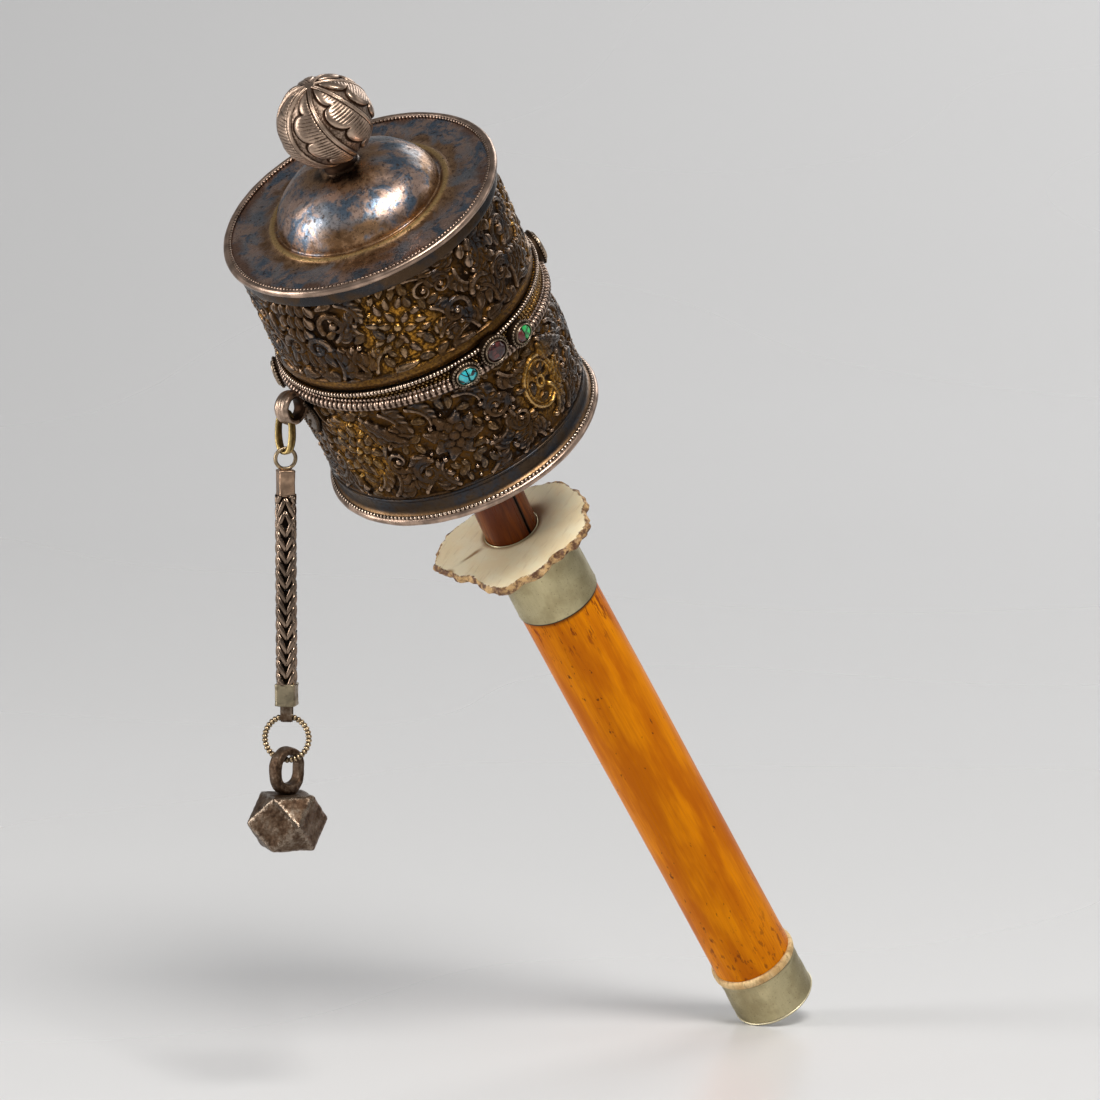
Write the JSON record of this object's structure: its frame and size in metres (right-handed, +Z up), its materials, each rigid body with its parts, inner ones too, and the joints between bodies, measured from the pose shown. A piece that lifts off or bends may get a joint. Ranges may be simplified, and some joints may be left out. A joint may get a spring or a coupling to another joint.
{
  "type": "prayer wheel",
  "caption": "Hand-held prayer wheel: chased silver drum turning on a spindle, a weighted chain at its side, on a bamboo grip with metal ferrules.",
  "frame": {"origin": "centre of the grip, on the handle's axis, where a hand closes round it", "axes": "+Z up as the wheel is held; the drum leans back towards -X; the chain hangs along -Z"},
  "size_m": [0.1881, 0.0718, 0.2488],
  "materials": {
    "nickel_silver": "worn satin nickel silver with a green-grey cast",
    "pale_wood": "pale dry wood",
    "bamboo": "glossy amber bamboo with dark specks",
    "antler": "polished cream antler with a scorched brown edge",
    "neck_wood": "polished red-brown wood",
    "iron": "hand-worn dark iron",
    "worn_silver": "rubbed warm silver, dark in the hollows",
    "tarnished_silver": "blue-grey and bronze tarnished silver",
    "chased_silver": "dark chased silver with worn gilding in the hollows",
    "brass": "old brass, rubbed bright on the edges",
    "chain_silver": "dark silver rubbed bright on its ridges",
    "paper": "wound printed paper",
    "cloth": "plain yellow cotton",
    "turquoise": "polished turquoise",
    "garnet": "dark polished garnet",
    "green_stone": "polished green stone beside dark red"
  },
  "bodies": {
    "handle": {"foot_disc": "nickel_silver", "end_ferrule": "nickel_silver", "end_plug": "pale_wood", "grip_ring": "pale_wood", "grip": "bamboo", "spindle_plug": "pale_wood", "upper_ferrule": "nickel_silver", "antler_washer": "antler", "neck_sleeve": "neck_wood", "spindle": "iron", "finial_collar": "brass", "finial": "worn_silver"},
    "drum": {"top_cover": "tarnished_silver", "top_rim_wire": "worn_silver", "upper_band": "chased_silver", "joint_sleeve": "chased_silver", "fine_wire": "worn_silver", "rope_wire": "worn_silver", "lower_band": "chased_silver", "bottom_cover": "tarnished_silver", "bottom_rim_wire": "worn_silver", "lower_bush": "brass", "upper_bush": "brass", "scroll_core": "pale_wood", "paper_scroll": "paper", "scroll_wrap": "cloth", "front_1_bezel": "chased_silver", "front_1_stone": "turquoise", "front_2_bezel": "chased_silver", "front_2_stone": "garnet", "front_3_bezel": "chased_silver", "front_3_stone": "green_stone", "back_1_bezel": "chased_silver", "back_1_stone": "turquoise", "back_2_bezel": "chased_silver", "back_2_stone": "garnet", "back_3_bezel": "chased_silver", "back_3_stone": "green_stone", "right_bezel": "chased_silver", "right_stone": "garnet", "left_bezel": "chased_silver", "left_stone": "garnet", "lug_eye": "worn_silver", "lug_plate": "chased_silver"},
    "link": {"oval_link": "brass"},
    "chain_top": {"small_ring": "brass", "upper_cap": "chain_silver", "woven_chain_1": "chain_silver"},
    "chain_2": {"woven_chain_2": "chain_silver"},
    "chain_3": {"woven_chain_3": "chain_silver"},
    "chain_4": {"woven_chain_4": "chain_silver"},
    "chain_5": {"woven_chain_5": "chain_silver"},
    "chain_end": {"woven_chain_6": "chain_silver", "lower_cap": "nickel_silver", "strap_loop": "iron"},
    "beaded_ring": {"beaded_ring": "brass"},
    "weight": {"weight_eye": "iron", "weight": "iron"}
  },
  "joints": [
    {"name": "drum_spin", "type": "hinge", "parent": "handle", "child": "drum", "pos_m": [-0.08431, 0.00678, 0.11648], "axis": [-0.565, 0, 0.8251], "continuous": true},
    {"name": "link_swing", "type": "hinge", "parent": "drum", "child": "link", "pos_m": [-0.11503, 0.02283, 0.09945], "axis": [0.9956, 0.0941, 0], "range_deg": [-8, 70]},
    {"name": "ring_swing", "type": "hinge", "parent": "link", "child": "chain_top", "pos_m": [-0.11503, 0.02283, 0.09075], "axis": [-0.0941, 0.9956, 0], "range_deg": [-10, 70]},
    {"name": "weave_1", "type": "hinge", "parent": "chain_top", "child": "chain_2", "pos_m": [-0.11503, 0.02283, 0.07315], "axis": [0.6074, -0.7944, 0], "range_deg": [-12, 12]},
    {"name": "weave_2", "type": "hinge", "parent": "chain_2", "child": "chain_3", "pos_m": [-0.11503, 0.02283, 0.06575], "axis": [0.7944, 0.6074, 0], "range_deg": [-12, 12]},
    {"name": "weave_3", "type": "hinge", "parent": "chain_3", "child": "chain_4", "pos_m": [-0.11503, 0.02283, 0.05835], "axis": [-0.6074, 0.7944, 0], "range_deg": [-12, 12]},
    {"name": "weave_4", "type": "hinge", "parent": "chain_4", "child": "chain_5", "pos_m": [-0.11503, 0.02283, 0.05095], "axis": [-0.7944, -0.6074, 0], "range_deg": [-12, 12]},
    {"name": "weave_5", "type": "hinge", "parent": "chain_5", "child": "chain_end", "pos_m": [-0.11503, 0.02283, 0.04355], "axis": [0.6074, -0.7944, 0], "range_deg": [-12, 12]},
    {"name": "beaded_ring_swing", "type": "hinge", "parent": "chain_end", "child": "beaded_ring", "pos_m": [-0.11503, 0.02283, 0.02825], "axis": [0.521, -0.8536, 0], "range_deg": [-50, 50]},
    {"name": "weight_swing", "type": "hinge", "parent": "beaded_ring", "child": "weight", "pos_m": [-0.11503, 0.02283, 0.02305], "axis": [-0.8536, -0.521, 0], "range_deg": [-50, 50]}
  ]
}
